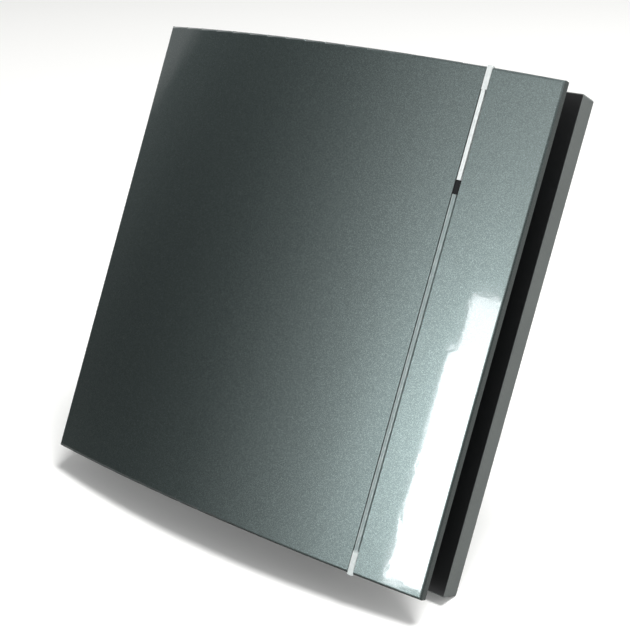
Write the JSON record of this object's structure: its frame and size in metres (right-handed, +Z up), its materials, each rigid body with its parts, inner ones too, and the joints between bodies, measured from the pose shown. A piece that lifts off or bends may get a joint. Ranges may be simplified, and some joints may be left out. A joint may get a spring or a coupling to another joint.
{
  "type": "bathroom extractor fan",
  "caption": "Square wall or ceiling extractor fan with a bowed front cover, side air slot, axial impeller, round duct spigot and backdraught flap.",
  "frame": {"origin": "on the duct spigot's axis, in the plane of the wall that the base is screwed to", "axes": "+X right as seen from the room, +Y into the wall along the spigot, +Z up; the cover faces -Y"},
  "size_m": [0.18, 0.1203, 0.1808],
  "materials": {
    "anthracite_paint": "dark anthracite metallic lacquer with fine flake under clear gloss",
    "clear_acrylic": "translucent clear strip, satin back",
    "smoked_window": "smoked clear plastic",
    "grey_abs": "fine satin moulded ABS, graphite grey",
    "black_abs": "fine matt moulded ABS, black",
    "white_abs": "satin moulded ABS, natural white",
    "zinc_steel": "bright zinc-plated steel",
    "bearing_steel": "ground and polished bearing steel",
    "core_steel": "stacked electrical steel sheets, blued edges",
    "cast_aluminium": "die-cast aluminium, as cast",
    "nylon": "natural glass-filled nylon",
    "copper_enamel": "enamelled copper winding wire",
    "rubber_black": "soft black rubber",
    "lead_insulation": "grey silicone lead insulation",
    "brass": "turned brass",
    "terminal_plastic": "ivory polyamide",
    "lamp_lens": "red diffused epoxy"
  },
  "bodies": {
    "housing": {"base_frame": "grey_abs", "terminal_box": "grey_abs", "wall_flange": "grey_abs", "duct_spigot": "grey_abs", "casing_screws": "zinc_steel", "inlet_bellmouth": "black_abs", "inlet_guard": "black_abs", "motor_cup": "black_abs", "guide_vanes": "black_abs", "stator_core": "core_steel", "coil_bobbin": "nylon", "coil_winding": "copper_enamel", "front_bearing_bracket": "cast_aluminium", "rear_bearing_bracket": "cast_aluminium", "motor_bolts": "zinc_steel", "silent_blocks": "rubber_black", "silent_block_screws": "zinc_steel", "motor_leads": "lead_insulation", "lamp_leads": "lead_insulation", "terminal_block": "terminal_plastic", "terminal_sleeves": "brass", "terminal_screws": "zinc_steel", "terminal_cover": "grey_abs", "terminal_cover_screw": "zinc_steel", "cable_clamp": "nylon", "cable_clamp_screws": "zinc_steel", "cable_grommet": "rubber_black", "pilot_lamp_holder": "nylon", "pilot_led": "lamp_lens", "shutter_frame": "black_abs", "shutter_pin": "zinc_steel", "front_bearing_outer_race": "bearing_steel", "rear_bearing_outer_race": "bearing_steel"},
    "rotor": {"impeller": "white_abs", "impeller_clip": "zinc_steel", "motor_shaft": "bearing_steel", "rotor_core": "core_steel", "rotor_end_rings": "cast_aluminium", "front_bearing_inner_race": "bearing_steel", "rear_bearing_inner_race": "bearing_steel", "bearing_balls": "bearing_steel", "bearing_cages": "nylon"},
    "cover": {"front_panel": "anthracite_paint", "trim_strip": "clear_acrylic", "pilot_window": "smoked_window"},
    "flap": {"shutter_flap": "black_abs"}
  },
  "joints": [
    {"name": "impeller_spin", "type": "hinge", "parent": "housing", "child": "rotor", "pos_m": [0, 0, 0], "axis": [0, 1, 0], "continuous": true},
    {"name": "cover_pull", "type": "slide", "parent": "housing", "child": "cover", "axis": [0, -1, 0], "range_m": [0, 0.06]},
    {"name": "flap_swing", "type": "hinge", "parent": "housing", "child": "flap", "pos_m": [0, 0.0812, 0.034], "axis": [1, 0, 0], "range_deg": [0, 58]}
  ]
}
